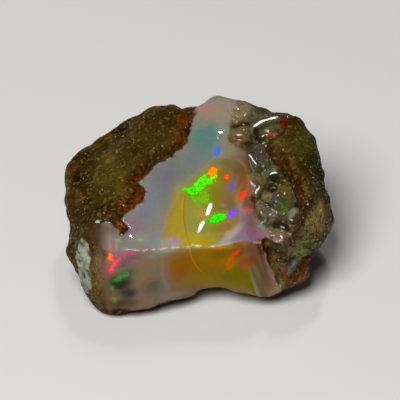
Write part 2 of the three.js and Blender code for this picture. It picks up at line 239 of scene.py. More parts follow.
def stone_fields(p):
    """The stone, below zero inside, and the separate fields that its surface comes from."""
    sandy = np.clip(1.4 - np.sqrt((((p - SANDY_AT) / SANDY_HALF) ** 2).sum(1)), 0, 1)
    rind = nodule(p) - 0.035 * grit(p, 0.7, 3) - (0.035 + 0.02 * sandy) * grit(p, 0.35, 4)
    rind -= 0.06 * sandy * grit(p, 0.55, 15)
    across, up, out = ((p - RIDGE) @ IN_WINDOW).T
    wobble = 0.16 * grit(p, 1.3, 5) + 0.14 * grit(p, 0.45, 6)
    band = np.clip((across - BAND_EDGE) / BAND_FALL, 0, 1)
    rough = band * (0.10 * grit(p, 0.9, 7) + 0.06 * grit(p, 0.4, 11))
    window = out - window_level(across, up, rough)
    rim = rim_distance(across, up) - 0.10 + wobble
    ledge = 0.8 * np.clip(out, 0, 2) - rim
    c_across, c_up, c_out = ((p - RIDGE) @ IN_FRONT).T
    x, y, half_x, half_y, depth = HOLLOW
    away = ((c_across - x) / half_x) ** 2 + ((c_up - y) / half_y) ** 2
    front = c_out - 0.1 * np.sin(0.8 * c_across + 0.5 * c_up) + depth * np.exp(-away)
    front += 0.4 * np.clip((-2 - c_across) / 4, 0, 1) * np.clip(1 + c_up / 4, 0, 1)
    front = np.minimum(front, FRONT_END - c_across + 0.1 * grit(p, 0.6, 8))
    hinged = np.stack([c_across - WEDGE_HINGE, c_up, c_out], 1) @ turned("y", -WEDGE_TURN)
    side = outline_distance(hinged[:, 0] + WEDGE_HINGE, hinged[:, 1], WEDGE)
    wedge = np.minimum(hinged[:, 2] + 0.1 + 0.2 * grit(p, 1.0, 9) + 0.1 * grit(p, 0.4, 12),
                       -side + 0.2 * grit(p, 0.8, 13))
    scoop = (p - CHIP_AT) @ turned("x", CHIP_TIP) / CHIP_HALF
    chip = (np.sqrt((scoop ** 2).sum(1)) - 1) * 1.4 + 0.12 * grit(p, 0.7, 10)
    body = -smooth_max(-smooth_max(rind, window, 0.2), -smooth_max(rind, ledge, 0.8), 0.12)
    body = smooth_max(body, front, 0.14 + 1.3 * np.clip((-6.4 - c_across) / 2.4, 0, 1))
    body = smooth_max(body, wedge, 0.25)
    body = smooth_max(body, -chip, 0.2)
    body = smooth_max(body, -p[:, 2], 0.2)
    return body, {"rind": rind, "window": window, "ledge": ledge, "front": front,
                  "wedge": wedge, "chip": -chip, "under": -p[:, 2], "rim": rim}


def skin(field, low, step):
    """Closed quads over a field's zero surface: one vertex in each cell that it crosses."""
    inside = field < 0
    cells = tuple(n - 1 for n in field.shape)
    corner = {(i, j, k): np.s_[i:i + cells[0], j:j + cells[1], k:k + cells[2]]
              for i in (0, 1) for j in (0, 1) for k in (0, 1)}
    full = sum(inside[s].astype(np.int8) for s in corner.values())
    mixed = (full > 0) & (full < 8)
    number = np.full(cells, -1, np.int64)
    number[mixed] = np.arange(mixed.sum())
    where = np.stack(np.nonzero(mixed), 1)
    spot = np.zeros((len(where), 3))
    count = np.zeros(len(where))
    for start in corner:
        for axis in range(3):
            if start[axis]:
                continue
            end = tuple(c + (d == axis) for d, c in enumerate(start))
            a, b = field[corner[start]][mixed], field[corner[end]][mixed]
            hit = (a < 0) != (b < 0)
            t = np.where(hit, a / np.where(hit, a - b, 1), 0)
            place = np.array(start, float) + 0 * where
            place[:, axis] = t
            spot[hit] += place[hit]
            count[hit] += 1
    points = low + step * (where + spot / count[:, None])
    quads = []
    for axis in range(3):
        one, two = (axis + 1) % 3, (axis + 2) % 3
        a, b = [slice(None)] * 3, [slice(None)] * 3
        a[axis], b[axis] = slice(0, -1), slice(1, None)
        for way in (True, False):
            grid = np.stack(np.nonzero((inside[tuple(a)] == way) & (inside[tuple(b)] != way)), 1)
            ring = []
            for da, db in ((-1, -1), (0, -1), (0, 0), (-1, 0)):
                cell = grid.copy()
                cell[:, one] += da
                cell[:, two] += db
                ring.append(number[cell[:, 0], cell[:, 1], cell[:, 2]])
            ring = np.stack(ring, 1)
            quads.append(ring if way else ring[:, ::-1])
    return points.astype(np.float32), np.concatenate(quads)


STEP = 0.152          # mm between the grid's points
OUTSIDE_ALL = 0.8     # mm: beyond this from the nodule there can be no stone
NUDGE = 0.03          # mm: how far apart the field is read for its slope
LONGEST_MOVE = 0.06   # mm that a vertex is moved at once towards the true surface
low = np.array([-14.4, -10.8, -0.45])
counts = np.ceil((np.array([14.4, 11.4, 15.6]) - low) / STEP).astype(int)
axes = [(low[d] + STEP * np.arange(counts[d])).astype(np.float32) for d in range(3)]
grid = np.stack(np.meshgrid(*axes, indexing="ij"), -1).reshape(-1, 3)
field = nodule(grid)
near = field < OUTSIDE_ALL
field[near] = np.concatenate([stone_fields(part)[0] for part in np.array_split(grid[near], 12)])
field = field.reshape(counts)
# Where full and empty corners lie crosswise in a square, one empty corner is filled, so that no
# edge of the mesh is shared by four faces.
for turn in range(4):
    for one, two in ((0, 1), (0, 2), (1, 2)):
        level = np.moveaxis(field, (one, two), (0, 1))
        full = level < 0
        i, j, k = np.nonzero((full[:-1, :-1] == full[1:, 1:]) & (full[:-1, 1:] == full[1:, :-1])
                             & (full[:-1, :-1] != full[1:, :-1]))
        level[i + full[i, j, k], j, k] = -0.001
points, quads = skin(field, low, STEP)
for turn in range(3):
    value = stone_fields(points)[0]
    slope = np.stack([stone_fields(points + shift)[0] - value for shift in
                      NUDGE * np.eye(3, dtype=np.float32)], 1) / NUDGE
    move = -value[:, None] * slope / np.maximum((slope ** 2).sum(1), 0.3)[:, None]
    points += np.clip(move, -LONGEST_MOVE, LONGEST_MOVE)

# The middle of the stone's box goes over the origin, as the model's does.
middle = (points.min(0) + points.max(0)) / 2
middle[2] = 0
parts = stone_fields(points)[1]
on_window = (points - RIDGE) @ IN_WINDOW
on_front = (points - RIDGE) @ IN_FRONT
across, up, front_across = on_window[:, 0], on_window[:, 1], on_front[:, 0]
upper = np.minimum(parts["window"], parts["ledge"])
cut = np.maximum.reduce([parts["front"], parts["wedge"], parts["chip"]])


def eased(value, start, end):
    """Goes smoothly from 0 to 1 while the value goes from start to end."""
    t = np.clip((value - start) / (end - start), 0, 1)
    return t * t * (3 - 2 * t)


at_left = np.clip((-6.4 - front_across) / 2.4, 0, 1)
rind = np.maximum(parts["rind"], parts["under"]) - np.maximum(upper, cut)
rind += 0.3 * at_left * (grit(points, 0.7, 90) - eased(points[:, 2], 2.5, 4.5))
rind = eased(rind, -0.08 - 0.25 * at_left, 0.08 + 0.25 * at_left)
front = eased(cut - upper, -0.05, 0.05)
wedge = eased(parts["wedge"] - np.maximum(upper, parts["front"]), -0.1, 0.1)
wedge = np.maximum(wedge, front * eased(front_across, 8.1, 8.4)) * (1 - rind)


def rgb(red, green, blue):
    """A colour from its 0 to 255 screen values."""
    screen = np.array([red, green, blue]) / 255
    return np.where(screen <= 0.04045, screen / 12.92, ((screen + 0.055) / 1.055) ** 2.4)


def spot(place, at, half, turn=0):
    """Zero at a place and one on the ellipse or ellipsoid round it."""
    c, s = math.cos(math.radians(turn)), math.sin(math.radians(turn))
    x, y = place[:, 0] - at[0], place[:, 1] - at[1]
    total = ((c * x + s * y) / half[0]) ** 2 + ((c * y - s * x) / half[1]) ** 2
    if len(at) == 3:
        total = total + ((place[:, 2] - at[2]) / half[2]) ** 2
    return np.sqrt(total)


def over(below, share, colour):
    return below + share[:, None] * (colour - below)


def washed(below, place, rows, start=1.42, end=0.3):
    """Patches of colour with soft edges: place, half sizes, colour, strength and any turn."""
    for at, half, screen, strength, *turn in rows:
        share = eased(spot(place, at, half, *turn), start, end) * strength
        below = over(below, share, rgb(*screen))
    return below


def pushed(place, size, amount, seed):
    """Places pushed about at random, so that what is drawn on them has uneven edges."""
    return place + amount * np.stack([grit(points, size, seed + i) for i in range(3)], 1)


def blended(value, stops):
    """A colour for each value from a row of stops."""
    places = [stop[0] for stop in stops]
    return np.stack([np.interp(value, places, [rgb(*stop[1])[i] for stop in stops])
                     for i in range(3)], 1)


# The ledge round the window is rind down to the glassy floor, and at the window's top the
# opal itself makes the stone's skin.
wall = eased(parts["window"], 0.06, 0.2) * (1 - front)
rind = np.maximum(rind, wall)
bare = spot(points, (2.4, 7.6, 14.2), (3.0, 2.8, 1.8)) + 0.15 * grit(points, 0.7, 91)
rind *= 1 - eased(bare, 1.15, 0.9)

# The milky body in the window.
soft = pushed(on_window, 2.2, 0.45, 20)
body = np.tile(rgb(131, 127, 116), (len(points), 1))
body = washed(body, soft, [
    ((0.9, 15.8), (3.8, 2.6), (146, 132, 110), 1.0), ((0.3, 16.4), (1.5, 1.1), (164, 124, 114), 1.0),
    ((-0.4, 11.4), (2.2, 3.0), (118, 127, 122), 1.0), ((0.9, 13.0), (1.9, 1.9), (92, 128, 119), 1.0),
    ((2.5, 13.4), (0.7, 0.9), (118, 144, 130), 0.7), ((0.6, 14.7), (0.8, 0.5), (146, 124, 100), 0.7),
    ((2.8, 11.9), (1.2, 1.2), (132, 124, 94), 0.9),
    ((-5.0, 5.0), (1.4, 3.8), (120, 122, 128), 0.9, -30),
    ((-6.9, 1.9), (1.5, 1.6), (140, 115, 126), 1.0), ((-8.9, 1.4), (1.8, 1.9), (116, 97, 84), 1.0),
    ((-10.4, 1.2), (1.2, 2.0), (84, 58, 38), 0.9), ((-4.6, 0.7), (2.4, 0.6), (142, 138, 124), 0.8),
    ((-3.0, 0.6), (1.2, 0.9), (150, 146, 142), 0.9), ((-4.4, 0.8), (1.0, 1.0), (130, 130, 134), 0.8),
    ((-3.8, 8.4), (1.6, 2.2), (114, 113, 120), 0.8, -30),
    ((5.2, 3.0), (1.8, 2.8), (130, 100, 98), 1.0), ((6.0, 1.5), (2.2, 1.1), (144, 98, 116), 1.0),
    ((4.2, 0.9), (1.6, 0.7), (134, 114, 136), 0.8), ((4.6, 9.2), (1.6, 2.6), (112, 84, 60), 1.0),
])

# The amber core and the yellow one inside it. The core's outline is across and up, in mm.
CORE_OUTLINE = [
    (-3.65, -1.0), (-3.65, 0.35), (-3.75, 1.66), (-3.25, 3.49), (-2.65, 5.15), (-2.05, 6.66),
    (-1.35, 7.94), (-0.15, 9.24), (0.65, 9.95), (1.35, 10.71), (2.15, 10.89), (3.65, 10.54),
    (4.35, 9.92), (4.75, 9.05), (4.85, 7.78), (4.65, 6.78), (4.25, 5.64), (4.05, 4.68),
    (4.05, 3.52), (3.65, 2.52), (2.85, 1.66), (2.05, 0.91), (1.4, -1.0),
]
bent = pushed(on_window, 1.6, 0.2, 30)
core = outline_distance(*bent.T[:2], CORE_OUTLINE)
inner = spot(on_window, (3.5, 4.4, 0.0), (5.25, 8.8, 7.5))
body = over(body, eased(core, 0.35, -0.55), rgb(140, 122, 66))
body = washed(body, soft, [
    ((-1.9, 3.4), (1.3, 4.4), (174, 146, 34), 1.0, -10),
    ((0.2, 3.6), (2.0, 3.6), (152, 148, 62), 1.0, -8), ((0.2, 0.8), (2.2, 1.1), (166, 148, 32), 1.0),
    ((2.4, 3.0), (1.3, 1.0), (146, 108, 34), 0.9, 30),
    ((1.8, 7.3), (1.9, 3.0), (136, 112, 38), 1.0, -8), ((3.4, 8.2), (1.0, 1.8), (118, 98, 76), 0.9),
    ((3.8, 9.7), (1.0, 1.0), (112, 70, 34), 0.9, -20), ((2.8, 10.2), (1.5, 0.8), (116, 98, 64), 0.9),
    ((1.4, 10.4), (0.9, 0.7), (126, 120, 68), 0.9),
    ((4.2, 8.6), (0.45, 1.4), (124, 68, 20), 0.8, -12), ((4.8, 6.8), (0.7, 1.6), (128, 72, 38), 0.9),
    ((0.2, 6.8), (1.6, 1.5), (118, 134, 10), 0.8, -30),
    ((1.4, 3.4), (1.6, 1.0), (120, 128, 30), 0.6, 20), ((3.4, 4.4), (0.8, 0.8), (132, 96, 116), 0.7),
    ((3.3, 1.6), (0.5, 1.6), (164, 154, 146), 0.9, -40),
    ((2.9, 1.6), (0.5, 0.5), (180, 152, 110), 0.8), ((-0.8, 1.0), (1.3, 1.2), (186, 162, 26), 0.8),
    ((-2.9, 0.5), (1.0, 0.7), (156, 146, 132), 0.9), ((4.9, 5.3), (0.5, 0.7), (112, 74, 50), 0.9),
    ((3.0, 5.6), (0.9, 1.3), (118, 90, 46), 0.8), ((1.9, 4.9), (0.8, 0.8), (116, 116, 24), 0.7),
    ((2.1, 8.8), (0.7, 0.7), (116, 98, 28), 0.8), ((2.9, 0.4), (0.8, 0.45), (158, 162, 146), 0.8),
])

# The front: amber in the middle, smoky brown at the left, milky bands at the right.
soft_front = pushed(on_front, 2.2, 0.4, 40)
amber = np.tile(rgb(130, 108, 86), (len(points), 1))
amber = washed(amber, soft_front, [
    ((-9.6, -3.0), (1.4, 4.6), (106, 84, 58), 1.0), ((-7.6, -1.4), (1.6, 0.9), (96, 84, 82), 0.8),
    ((-8.2, -4.1), (1.5, 1.0), (34, 36, 34), 0.95, 25), ((-7.4, -5.5), (1.0, 0.8), (42, 44, 58), 0.9),
    ((-10.2, -5.4), (1.2, 1.8), (86, 66, 22), 0.9), ((-6.3, -3.4), (0.8, 0.6), (112, 116, 74), 0.8),
    ((-5.6, -4.1), (0.9, 0.9), (136, 108, 76), 0.8), ((-9.0, -5.6), (0.6, 0.8), (116, 84, 84), 0.7),
    ((-7.4, -3.2), (1.0, 0.6), (66, 84, 58), 0.8, 20), ((-8.3, -6.2), (1.0, 0.8), (110, 96, 58), 0.8),
    ((-4.8, -4.9), (1.2, 1.0), (92, 88, 78), 0.8), ((-3.2, -5.2), (1.2, 2.0), (122, 114, 108), 0.8),
    ((-4.0, -0.6), (1.8, 0.6), (124, 130, 110), 0.8),
    ((-8.7, -1.6), (0.9, 1.6), (168, 100, 92), 0.8, -30),
    ((-7.8, -6.8), (1.6, 0.7), (62, 50, 30), 0.9), ((-7.3, -0.9), (1.4, 0.7), (124, 102, 118), 0.9),
    ((-2.3, -6.6), (1.4, 0.8), (142, 130, 118), 0.9), ((1.4, -2.4), (4.6, 4.6), (148, 108, 0), 1.0),
    ((-1.7, -2.7), (1.3, 1.7), (152, 86, 0), 0.9), ((0.2, -5.2), (2.6, 1.0), (150, 118, 8), 0.9),
    ((-1.8, -5.7), (1.2, 0.8), (138, 110, 72), 0.7), ((2.2, -1.2), (1.4, 0.9), (124, 92, 0), 0.8),
    ((3.8, -4.6), (2.8, 2.4), (116, 102, 0), 1.0), ((3.8, -1.0), (0.8, 1.0), (122, 64, 0), 0.9),
    ((4.8, -2.8), (1.0, 1.1), (152, 74, 28), 0.9), ((4.8, -0.9), (0.6, 0.8), (116, 82, 58), 0.9),
    ((0.4, -0.3), (2.8, 0.5), (170, 148, 62), 0.8), ((-3.1, -0.1), (1.4, 0.4), (158, 158, 142), 0.9),
    ((5.0, -5.9), (0.7, 0.8), (112, 108, 0), 0.9), ((5.8, -2.0), (0.7, 2.6), (108, 72, 42), 1.0, 16),
    ((6.6, -4.4), (0.6, 2.2), (104, 76, 44), 1.0, 14),
    ((5.7, -5.0), (0.5, 1.6), (118, 110, 70), 1.0, 8),
    ((7.6, -5.0), (0.7, 1.8), (110, 80, 58), 1.0, 16),
    ((7.2, -4.4), (0.32, 2.4), (136, 108, 94), 0.8, 20),
    ((6.0, -6.3), (0.6, 0.5), (114, 114, 86), 0.8), ((6.2, -1.3), (0.34, 1.1), (84, 42, 6), 0.95, 16),
])
slant = on_front @ turned("z", math.radians(16))
streak = grit(slant * np.float32([3.0, 0.35, 0.0]), 1.0, 48) * eased(front_across, 4.6, 5.6)
amber = amber * (1 + 0.45 * streak[:, None])
body = over(body, front, amber)

# Near the rind at the left the opal turns smoky brown.
buried = eased(-parts["rind"] + 0.3 * grit(points, 0.8, 50), 0.9, 0.1)
body = over(body, buried * eased(across, -5.0, -8.0) * 0.8, rgb(110, 88, 74))
body = washed(body, pushed(on_window, 1.0, 0.3, 46), [
    ((-8.7, 0.5), (0.8, 1.2), (144, 124, 124), 0.8), ((-10.7, 1.6), (1.0, 1.8), (62, 42, 22), 0.9),
    ((6.1, 0.9), (0.45, 0.6), (92, 52, 20), 0.9),
])
streak = grit(on_window * np.float32([2.8, 0.5, 0.0]), 1.0, 47) * eased(across, -7.6, -8.4)
body = body * (1 + 0.3 * (streak * (1 - front))[:, None])

# The knobbly band: glassy lumps of brown, olive and smoky opal.
BAND_OUTLINE = [
    (3.9, 18.0), (3.4, 15.6), (2.9, 13.8), (3.1, 12.5), (4.5, 10.8), (5.0, 8.9), (5.35, 6.8),
    (5.1, 6.0), (5.5, 4.5), (6.2, 2.8), (7.2, 1.6), (8.1, 0.9), (10.0, -0.5), (14.0, 2.0),
    (14.0, 20.0),
]
bent = pushed(on_window, 0.9, 0.35, 53)
in_band = eased(outline_distance(*bent.T[:2], BAND_OUTLINE), 0.22, -0.22)
band = blended(grit(points, 1.0, 56) * 0.6 + grit(points, 0.5, 57) * 0.4, [
    (-0.6, (36, 28, 8)), (-0.25, (58, 48, 22)), (0.05, (78, 68, 38)), (0.4, (98, 86, 60)),
    (0.6, (78, 56, 20))])
band = washed(band, pushed(on_window, 0.9, 0.25, 60), [
    ((4.0, 16.2), (1.6, 1.7), (126, 108, 80), 1.0), ((4.5, 14.35), (1.6, 0.25), (56, 38, 12), 0.9, 4),
    ((4.2, 13.3), (1.5, 0.85), (104, 92, 60), 1.0, 8), ((3.8, 12.65), (0.5, 0.5), (128, 68, 38), 0.9),
    ((6.7, 14.7), (1.9, 0.75), (88, 84, 50), 1.0, 24), ((8.5, 15.2), (0.5, 0.45), (116, 30, 16), 0.9),
    ((7.3, 13.7), (0.6, 0.5), (130, 76, 40), 0.9), ((5.9, 13.5), (0.6, 0.4), (36, 32, 14), 0.9),
    ((5.8, 11.4), (0.9, 1.3), (72, 64, 56), 1.0, 14), ((6.9, 9.8), (0.6, 0.6), (60, 74, 36), 0.8),
    ((5.7, 8.0), (0.95, 1.05), (102, 92, 50), 1.0), ((6.8, 8.9), (0.7, 0.5), (84, 92, 68), 0.9, 20),
    ((7.2, 7.6), (0.6, 0.5), (40, 30, 6), 0.9), ((7.5, 8.5), (0.6, 0.4), (40, 32, 8), 0.9),
    ((7.6, 9.7), (0.6, 0.5), (104, 104, 66), 0.9), ((6.65, 6.6), (0.6, 0.7), (124, 106, 66), 0.9),
    ((8.4, 7.1), (0.6, 0.9), (96, 76, 26), 1.0, 20), ((5.75, 7.3), (0.5, 0.6), (76, 64, 32), 0.9),
    ((4.9, 10.7), (0.5, 0.8), (86, 68, 36), 0.8), ((8.6, 1.3), (0.6, 0.6), (84, 64, 52), 0.9),
    ((7.6, 6.0), (0.7, 0.9), (80, 72, 62), 1.0), ((5.25, 5.6), (0.5, 0.5), (84, 38, 4), 1.0),
    ((6.2, 4.9), (0.5, 1.6), (104, 92, 66), 1.0, 20), ((7.3, 4.2), (0.5, 0.7), (104, 86, 82), 0.9),
    ((8.2, 4.6), (0.4, 0.5), (80, 88, 40), 0.9), ((9.1, 4.1), (0.55, 0.55), (112, 112, 88), 1.0),
    ((8.2, 2.9), (0.8, 0.5), (40, 32, 14), 0.9, -20), ((9.9, 3.4), (0.9, 0.7), (66, 46, 38), 0.9),
    ((7.7, 2.2), (1.2, 0.8), (118, 100, 72), 1.0, -20), ((7.5, 1.3), (0.7, 0.5), (122, 102, 96), 0.9),
    ((9.4, 1.6), (0.8, 0.7), (76, 60, 40), 0.9), ((8.5, 1.0), (0.5, 0.4), (78, 58, 46), 0.9),
    ((9.4, 4.6), (0.5, 0.5), (130, 130, 100), 0.9),
], 1.1, 0.8)
in_band = in_band * (1 - front)
body = over(body, in_band, band)

# The rind: brown clay and sand, olive and rusty by turns, with a chalky patch at the left.
clods = grit(points, 2.6, 70) * 0.5 + grit(points, 1.1, 71) * 0.3 + grit(points, 0.5, 72) * 0.2
soil = blended(clods, [
    (-0.5, (36, 20, 0)), (-0.15, (60, 38, 2)), (0.1, (74, 52, 6)), (0.5, (100, 80, 26))])
sandy = eased(spot(points, SANDY_AT, SANDY_HALF), 1.3, 0.7)
soft_rind = pushed(points, 1.6, 0.6, 73)
soil = washed(soil, soft_rind, [
    ((-8.6, -1.4, 12.0), (2.6, 3.0, 2.5), (80, 66, 14), 0.8),
    ((-8.2, 2.4, 12.8), (2.2, 2.0, 2.0), (62, 44, 6), 0.7),
    ((-4.6, 4.6, 14.0), (4.0, 3.5, 2.5), (68, 49, 6), 0.6),
    ((-5.0, 5.8, 13.9), (2.2, 1.6, 1.2), (52, 36, 2), 0.8),
    ((-4.45, 1.3, 13.6), (0.45, 0.6, 0.6), (50, 14, 0), 0.9),
    ((-11.0, 2.2, 11.3), (1.0, 1.2, 1.0), (60, 36, 4), 0.8),
    ((-9.8, -5.0, 10.4), (1.2, 1.2, 1.0), (46, 28, 0), 0.9),
    ((-9.5, -2.2, 11.2), (1.2, 1.4, 1.0), (56, 38, 4), 0.8),
    ((-8.6, -5.6, 11.4), (2.4, 1.4, 1.6), (44, 24, 0), 0.8),
    ((-11.6, -4.6, 8.8), (1.8, 2.0, 2.0), (50, 36, 8), 0.6),
    ((-10.4, -7.6, 8.4), (1.4, 1.8, 1.6), (66, 40, 8), 0.9),
    ((-9.8, -8.8, 6.6), (1.1, 1.6, 2.8), (114, 90, 60), 1.0),
    ((-10.2, -8.8, 3.2), (1.2, 1.6, 1.8), (92, 72, 26), 0.9),
    ((11.0, 2.0, 11.0), (3.4, 5.0, 3.4), (50, 44, 2), 0.8),
    # Painted shade: these two near-black patches stand for the shadow between the lumps at the upper
    # right.
    ((12.2, 2.4, 10.2), (1.4, 3.4, 2.8), (26, 22, 0), 0.8),
    ((11.4, 2.2, 12.4), (1.2, 1.6, 1.2), (30, 28, 0), 0.8),
    ((12.6, -2.6, 8.1), (1.0, 1.4, 1.4), (98, 86, 48), 0.8),
    ((11.6, -4.0, 9.4), (1.6, 2.4, 1.6), (140, 116, 62), 0.9),
    ((12.0, -5.4, 7.1), (1.3, 1.5, 1.5), (62, 64, 38), 0.9),
    ((10.2, -6.4, 7.6), (1.5, 2.0, 1.5), (126, 120, 70), 0.9),
    ((10.0, -6.6, 3.0), (2.4, 1.8, 2.4), (104, 58, 28), 0.9),
    ((9.4, -7.1, 5.5), (0.8, 1.2, 0.9), (112, 122, 122), 0.9),
    ((6.4, 9.0, 13.4), (2.6, 1.4, 1.0), (82, 62, 44), 0.9),
    ((11.3, -6.6, 7.0), (0.9, 1.0, 1.2), (50, 50, 28), 0.9),
    ((10.2, -6.4, 9.2), (1.2, 1.4, 1.4), (108, 102, 64), 0.9),
    ((9.4, -7.3, 7.7), (0.9, 1.0, 1.2), (108, 108, 76), 0.9),
    ((10.3, 2.9, 13.4), (1.6, 2.2, 1.4), (74, 68, 20), 0.8),
    ((-8.8, 2.2, 12.6), (1.4, 1.6, 1.0), (90, 70, 22), 0.8),
    ((-3.8, 2.7, 14.1), (1.2, 1.2, 0.9), (58, 40, 6), 0.8),
    ((12.6, -4.2, 6.8), (0.9, 1.3, 1.0), (42, 44, 22), 0.8),
    ((10.1, -6.6, 9.6), (0.8, 0.9, 0.8), (120, 112, 74), 0.7),
])
speckle = 0.6 * grit(points, 0.4, 95) + 0.6 * grit(points, 0.8, 96)
soil = soil * (1 + (0.2 + 0.3 * sandy) * speckle)[:, None]
chalky = pushed(points, 0.7, 0.35, 76)
chalk = eased(np.minimum(spot(chalky, (-12.1, -7.45, 7.1), (1.5, 1.5, 2.0)),
                         spot(chalky, (-11.6, -7.9, 4.7), (0.8, 2.2, 2.3))), 1.05, 0.92)
# Below 5.5 mm the chalk is painted up to a fifth darker towards its foot: painted shade.
soil = over(soil, chalk, blended(grit(points, 0.5, 79), [
    (-0.6, (84, 84, 62)), (-0.2, (142, 148, 126)), (0.6, (170, 178, 158))])
            * (1 - 0.2 * eased(points[:, 2:], 5.5, 3.5)))

# The rust-red fringe where the rind broke off the opal, and the dark vein at the right.
rusty = np.maximum.reduce([1 - spot(on_window, (-6.4, 5.4), (3.4, 2.9), 40) ** 2,
                           1 - spot(on_window, (-1.2, 13.6), (2.2, 3.2)) ** 2,
                           1 - spot(on_window, (-7.5, 1.6), (1.0, 1.2)) ** 2])
rusty = eased(rusty + 0.5 * grit(points, 0.9, 94), -0.1, 0.35)
rim = parts["rim"] + 0.12 * grit(points, 0.5, 80)
fringe_width = 0.55 + 0.55 * grit(points, 1.6, 84) + 0.3 * grit(points, 0.5, 85)
fringe_width += 0.6 * rusty * eased(across, 0.5, -0.5)
fringe = eased(rim, -0.1, 0.02) * eased(rim - fringe_width, 0.35, -0.2) * (1 - front)
fringe *= eased(up, 16.4, 14.8)
rust = blended(grit(points, 0.6, 81), [
    (-0.7, (46, 18, 0)), (-0.2, (90, 38, 0)), (0.3, (120, 52, 0)), (0.7, (96, 46, 4))])
vein = blended(grit(points, 0.6, 81), [
    (-0.5, (44, 22, 2)), (0.2, (70, 40, 8)), (0.6, (62, 34, 22))])
rust = over(rust, eased(across, 2.0, 4.0), vein)
rust = washed(rust, on_window, [
    ((-8.8, 3.8), (1.3, 1.1), (54, 32, 0), 0.8), ((-9.6, 2.8), (0.8, 0.7), (76, 42, 2), 0.8),
])
rust = over(rust, (1 - rusty) * eased(across, 0.5, -0.5), rgb(62, 42, 10))
recess = blended(grit(points, 0.8, 82), [
    (-0.5, (48, 36, 14)), (0.1, (88, 76, 38)), (0.6, (108, 98, 52))])
recess = washed(recess, pushed(on_front, 0.8, 0.2, 83), [
    ((6.5, -1.4), (0.55, 2.8), (88, 36, 2), 1.0, 22), ((8.4, -1.2), (0.7, 0.8), (72, 60, 38), 0.9),
    ((8.6, -0.3), (0.7, 0.6), (68, 52, 40), 0.9), ((7.4, -1.5), (0.8, 1.3), (54, 42, 26), 0.9),
    ((8.4, -4.9), (0.8, 1.2), (104, 62, 34), 1.0),
])
body = over(body, fringe, rust)
soil = over(soil, fringe * 0.9, rust)
soil = over(soil, wedge, recess)
rind = np.maximum(rind, wedge)


def flashes(place, rows):
    """Distance in mm to the nearest patch of fire, below zero inside it, and its colour."""
    nearest, colour = np.full(len(place), 9.0), np.zeros((len(place), 3))
    for at, half, tint, strength, *turn in rows:
        distance = (spot(place, at, half, *turn) - 1) * min(half)
        closer = distance < nearest
        nearest[closer] = distance[closer]
        colour[closer] = np.array(tint) * strength
    return nearest, colour


window_fire = flashes(pushed(on_window, 0.5, 0.1, 86), [
    ((-1.45, 7.0), (0.34, 0.24), (0.05, 0.7, 0.0), 1.0),
    ((-0.65, 7.0), (0.58, 0.62), (0.03, 0.75, 0.0), 1.0, -30),
    ((0.05, 7.9), (0.5, 1.25), (0.06, 0.7, 0.0), 1.0, -30),
    ((0.8, 8.25), (0.62, 0.28), (0.04, 0.8, 0.0), 1.0, -5),
    ((1.25, 8.75), (0.5, 0.24), (0.3, 0.6, 0.0), 0.9, 20),
    ((-0.5, 6.3), (0.5, 0.6), (0.05, 0.5, 0.0), 0.8),
    ((0.4, 6.4), (0.55, 0.85), (0.1, 0.42, 0.0), 0.9),
    ((-0.1, 5.5), (0.45, 0.45), (0.1, 0.3, 0.0), 0.6),
    ((0.55, 6.8), (0.12, 0.3), (0.8, 0.8, 0.03), 0.9, -15),
    ((1.3, 9.35), (0.48, 0.4), (1.0, 0.26, 0.0), 1.0, 20),
    ((2.65, 8.65), (0.26, 0.28), (1.0, 0.1, 0.01), 0.8),
    ((3.15, 7.5), (0.22, 0.36), (0.14, 0.04, 0.55), 0.8),
    ((4.3, 6.45), (0.28, 0.6), (1.0, 0.04, 0.01), 0.8, -32),
    ((4.1, 5.85), (0.16, 0.16), (1.0, 0.06, 0.02), 0.9),
    ((4.85, 4.7), (0.3, 0.16), (0.85, 0.04, 0.02), 0.8),
    ((3.2, 4.3), (0.32, 0.6), (0.2, 0.05, 0.8), 1.0, -30),
    ((3.85, 4.4), (0.2, 0.3), (0.2, 0.05, 0.6), 0.7, 20),
    ((1.72, 3.82), (0.9, 0.5), (0.0, 0.85, 0.0), 1.0, 27),
    ((0.35, 4.3), (0.26, 0.16), (1.0, 0.16, 0.01), 0.8),
    ((1.75, 11.4), (0.2, 0.55), (0.03, 0.16, 0.9), 0.9, -22),
    ((-2.5, 0.7), (0.36, 0.34), (0.22, 0.08, 0.6), 0.6, 30),
    ((2.45, 5.5), (0.32, 0.32), (0.3, 0.1, 0.5), 0.3),
    ((6.25, 2.8), (0.32, 0.32), (0.03, 0.35, 0.3), 0.6),
    ((-7.95, 0.6), (0.35, 0.3), (0.05, 0.45, 0.08), 0.5),
    ((-5.95, 0.7), (0.3, 0.25), (0.05, 0.45, 0.08), 0.5),
    ((8.2, 5.3), (0.17, 0.22), (0.06, 0.5, 0.01), 0.6),
    ((3.7, 0.1), (0.6, 0.1), (0.9, 0.1, 0.4), 0.7, 4),
    ((-8.85, -0.9), (0.3, 0.45), (1.0, 0.16, 0.01), 1.0),
])
